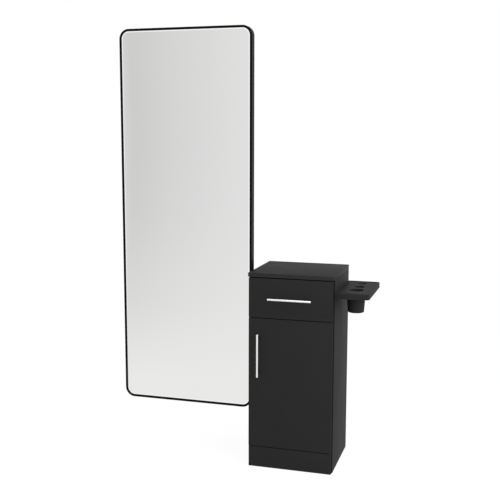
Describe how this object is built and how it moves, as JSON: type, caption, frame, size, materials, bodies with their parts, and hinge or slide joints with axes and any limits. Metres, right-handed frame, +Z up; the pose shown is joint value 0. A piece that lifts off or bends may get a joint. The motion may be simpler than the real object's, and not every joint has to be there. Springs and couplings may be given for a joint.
{
  "type": "double sided salon station",
  "caption": "Narrow salon cabinet with a drawer, a door and a side tool holder, carrying a tall round-cornered mirror with a glass on each face.",
  "frame": {"origin": "on the floor, at the centre of the cabinet's footprint and of its four floor anchors", "axes": "+Z up, the fronts face -Y, +X towards the tool holder; the mirror stands on the -X side"},
  "size_m": [1.223, 0.414, 2.071],
  "materials": {
    "front_laminate": "matt black laminate",
    "carcass_laminate": "matt black laminate",
    "inner_board": "matt black laminate",
    "drawer_board": "pale grey melamine",
    "hardboard": "smooth melamine hardboard",
    "satin_steel": "satin brushed",
    "zinc_steel": "bright zinc plate",
    "screw_steel": "zinc plate",
    "black_steel": "black powder coat",
    "frame_aluminium": "black satin coat",
    "mirror_glass": "silvered, bevelled edge",
    "softwood": "planed",
    "black_plastic": "fine moulded grain",
    "white_nylon": "plain nylon",
    "clear_rubber": "soft dots"
  },
  "bodies": {
    "root": {"left_side_panel": "carcass_laminate", "right_side_panel": "carcass_laminate", "top_board": "carcass_laminate", "bottom_board": "inner_board", "divider_board": "inner_board", "back_panel": "carcass_laminate", "plinth_board": "front_laminate", "adjustable_shelf": "inner_board", "shelf_pins": "zinc_steel", "cam_locks": "zinc_steel", "cam_bolts": "zinc_steel", "base_plate": "black_steel", "base_angles": "black_steel", "base_screws": "screw_steel", "front_bumpers": "clear_rubber", "left_slide_outer": "zinc_steel", "right_slide_outer": "zinc_steel", "slide_screws": "screw_steel", "pivot_arms": "black_steel", "pivot_arm_screws": "screw_steel", "thrust_washer": "white_nylon", "magnetic_catch": "black_plastic", "mirror_frame": "frame_aluminium", "front_mirror_glass": "mirror_glass", "rear_mirror_glass": "mirror_glass", "mirror_right_stile": "softwood", "mirror_left_stile": "softwood", "mirror_rails": "softwood", "mirror_cross_rails": "softwood", "mirror_corner_blocks": "softwood", "mirror_clamp_bar": "black_steel", "mirror_bolt_washers": "zinc_steel", "mirror_bolts": "screw_steel", "tool_holder": "black_plastic", "tool_holder_screws": "screw_steel", "dryer_cup": "black_plastic"},
    "drawer": {"drawer_front": "front_laminate", "drawer_inner_front": "drawer_board", "drawer_left_side": "drawer_board", "drawer_right_side": "drawer_board", "drawer_back": "drawer_board", "drawer_bottom": "hardboard", "drawer_front_screws": "screw_steel", "left_slide_inner": "zinc_steel", "right_slide_inner": "zinc_steel", "drawer_slide_screws": "screw_steel", "drawer_handle": "satin_steel", "drawer_handle_screws": "screw_steel"},
    "slide_middles": {"left_slide_middle": "zinc_steel", "right_slide_middle": "zinc_steel"},
    "door": {"door_panel": "front_laminate", "door_pivot_leaves": "black_steel", "pivot_bushes": "white_nylon", "door_leaf_screws": "screw_steel", "catch_strike_plate": "zinc_steel", "door_handle": "satin_steel", "door_handle_screws": "screw_steel"}
  },
  "joints": [
    {"name": "drawer_slide", "type": "slide", "parent": "root", "child": "drawer", "axis": [0, -1, 0], "range_m": [0, 0.3]},
    {"name": "slide_middles_slide", "type": "slide", "parent": "root", "child": "slide_middles", "axis": [0, -1, 0], "range_m": [0, 0.15]},
    {"name": "door_swing", "type": "hinge", "parent": "root", "child": "door", "pos_m": [0.1945, -0.184, 0.416], "axis": [0, 0, 1], "range_deg": [0, 110]}
  ],
  "couplings": [
    {"joint": "slide_middles_slide", "follows": "drawer_slide", "ratio": 0.5}
  ]
}
